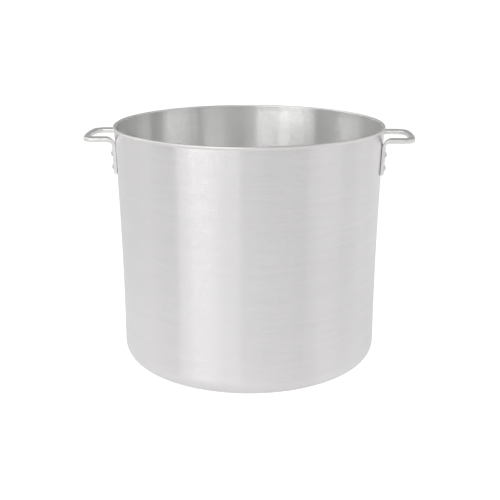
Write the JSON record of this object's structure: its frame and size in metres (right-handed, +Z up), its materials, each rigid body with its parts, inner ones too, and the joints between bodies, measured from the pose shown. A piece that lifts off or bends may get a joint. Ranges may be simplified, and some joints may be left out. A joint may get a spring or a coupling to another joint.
{
  "type": "stock pot",
  "caption": "Large open aluminium stock pot: spun shell with a rounded rim bead and wide base corner, and two fixed loop handles, each riveted to the wall.",
  "frame": {"origin": "centre of the underside of the base", "axes": "+Z up out of the mouth; +X through the middle of the right handle, -X through the left handle; -Y is the front"},
  "size_m": [0.632, 0.5199, 0.457],
  "materials": {
    "pot_shell": "satin, spun: fine rings all the way round",
    "handles": "satin, tumbled casting",
    "rivets": "satin, formed heads"
  },
  "bodies": {
    "root": {"pot_body": "pot_shell", "left_handle": "handles", "right_handle": "handles", "left_handle_front_upper_rivet": "rivets", "left_handle_front_lower_rivet": "rivets", "left_handle_rear_upper_rivet": "rivets", "left_handle_rear_lower_rivet": "rivets", "right_handle_front_upper_rivet": "rivets", "right_handle_front_lower_rivet": "rivets", "right_handle_rear_upper_rivet": "rivets", "right_handle_rear_lower_rivet": "rivets"}
  },
  "joints": []
}
